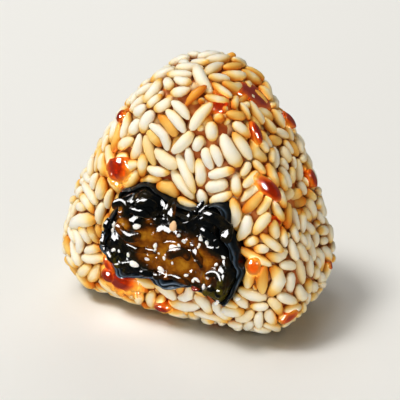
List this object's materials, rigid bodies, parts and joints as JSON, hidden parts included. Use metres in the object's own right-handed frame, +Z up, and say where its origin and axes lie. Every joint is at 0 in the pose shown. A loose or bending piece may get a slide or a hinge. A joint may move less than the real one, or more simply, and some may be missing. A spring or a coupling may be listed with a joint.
{
  "type": "onigiri rice ball",
  "caption": "Rounded triangular ball of pressed rice that stands on its flat base, with a seaweed-lined hollow in its front face full of simmered seaweed.",
  "frame": {"origin": "on the surface that the ball stands on, under the middle of the whole's box", "axes": "+X along the width of the front face, to the right as it is looked at; +Y through the thickness, from the front face with the filling to the back; +Z up, from the flat base to the rounded top"},
  "size_m": [0.075, 0.0462, 0.0707],
  "materials": {
    "cooked_rice": "moist cooked short grains, cream white with amber soy glaze in the gaps between them",
    "wet_nori": "wet black-green seaweed sheet, glossy, with a grey-blue sheen on its edge",
    "simmered_seaweed": "black and brown simmered seaweed under a thick clear syrup",
    "soy_glaze": "reduced soy and mirin glaze, clear orange to deep red, in glossy drops on the grains",
    "white_sesame": "hulled white sesame seeds, ivory and satin"
  },
  "bodies": {
    "root": {"rice_ball": "cooked_rice", "nori_lining": "wet_nori", "seaweed_filling": "simmered_seaweed"}
  },
  "joints": []
}
